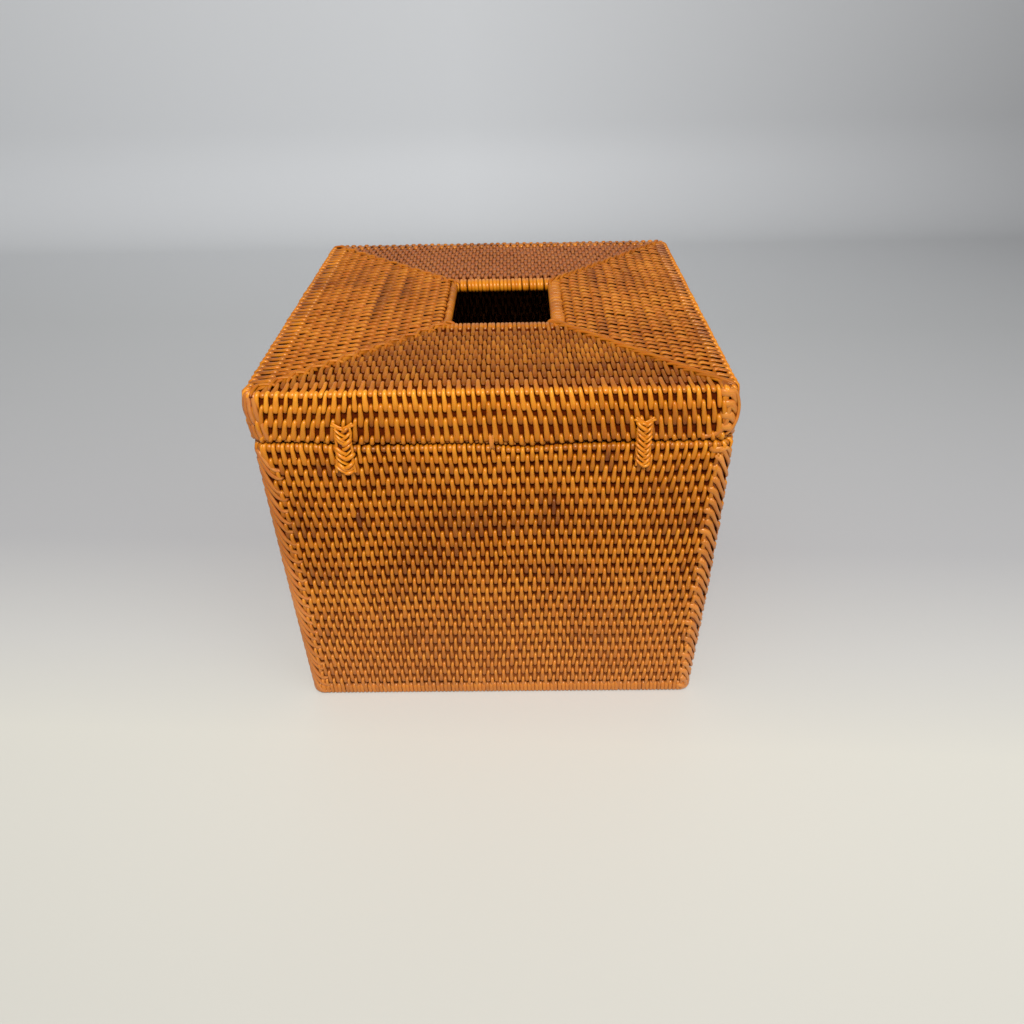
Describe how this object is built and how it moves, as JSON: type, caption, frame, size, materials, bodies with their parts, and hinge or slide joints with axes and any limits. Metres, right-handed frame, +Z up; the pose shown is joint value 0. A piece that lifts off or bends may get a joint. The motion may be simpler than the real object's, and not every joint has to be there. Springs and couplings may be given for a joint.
{
  "type": "tissue box cover",
  "caption": "Square tissue box cover of coiled rattan: an open-topped box with a shallow lid on two plaited strap hinges and a square slot for the tissue.",
  "frame": {"origin": "middle of the foot, on the table", "axes": "+Z up, +X to the right as seen from the hinge side, -Y the outward side of the hinge wall"},
  "size_m": [0.154, 0.1534, 0.137],
  "materials": {
    "rattan_body": "split rattan under a warm satin varnish",
    "rattan_lid": "split rattan under a warm satin varnish, in lighter and darker courses",
    "rattan_base": "split rattan, matt and a little darker",
    "rattan_plait": "finely split rattan, plaited, satin"
  },
  "bodies": {
    "box": {"base_panel": "rattan_base", "foot_course": "rattan_body", "hinge_wall": "rattan_body", "far_wall": "rattan_body", "left_wall": "rattan_body", "right_wall": "rattan_body", "hinge_left_corner": "rattan_body", "hinge_right_corner": "rattan_body", "far_left_corner": "rattan_body", "far_right_corner": "rattan_body", "body_rim": "rattan_body", "left_strap_body_half": "rattan_plait", "right_strap_body_half": "rattan_plait"},
    "lid": {"lid_hinge_panel": "rattan_lid", "lid_far_panel": "rattan_lid", "lid_left_panel": "rattan_lid", "lid_right_panel": "rattan_lid", "slot_rim": "rattan_lid", "lid_edge": "rattan_lid", "lid_hinge_skirt": "rattan_lid", "lid_far_skirt": "rattan_lid", "lid_left_skirt": "rattan_lid", "lid_right_skirt": "rattan_lid", "lid_hinge_left_corner": "rattan_lid", "lid_hinge_right_corner": "rattan_lid", "lid_far_left_corner": "rattan_lid", "lid_far_right_corner": "rattan_lid", "left_strap_lid_half": "rattan_plait", "right_strap_lid_half": "rattan_plait"}
  },
  "joints": [
    {"name": "lid_hinge", "type": "hinge", "parent": "box", "child": "lid", "pos_m": [0, -0.0767, 0.1192], "axis": [1, 0, 0], "range_deg": [0, 110]}
  ]
}
